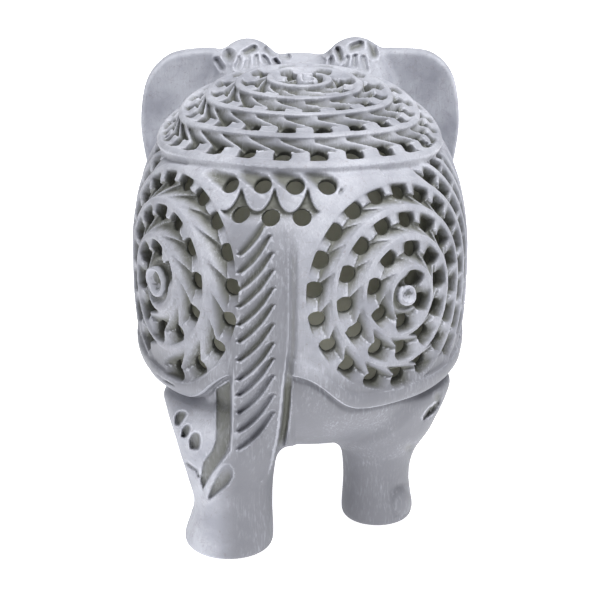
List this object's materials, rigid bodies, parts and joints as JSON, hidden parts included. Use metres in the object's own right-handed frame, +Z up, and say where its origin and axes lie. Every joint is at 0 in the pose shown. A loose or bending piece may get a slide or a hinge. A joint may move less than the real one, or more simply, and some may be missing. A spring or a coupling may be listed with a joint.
{
  "type": "elephant sculpture",
  "caption": "Small carved soapstone elephant standing on its feet, its hollow body pierced as openwork with spiral lanes of scooped, drilled holes.",
  "frame": {"origin": "on the ground under the middle of the figure's overall length and width", "axes": "+Z up, the elephant faces -Y, so +X is its left side"},
  "size_m": [0.0692, 0.1112, 0.0866],
  "materials": {
    "soapstone": "matte, hand carved"
  },
  "bodies": {
    "root": {"elephant": "soapstone"}
  },
  "joints": []
}
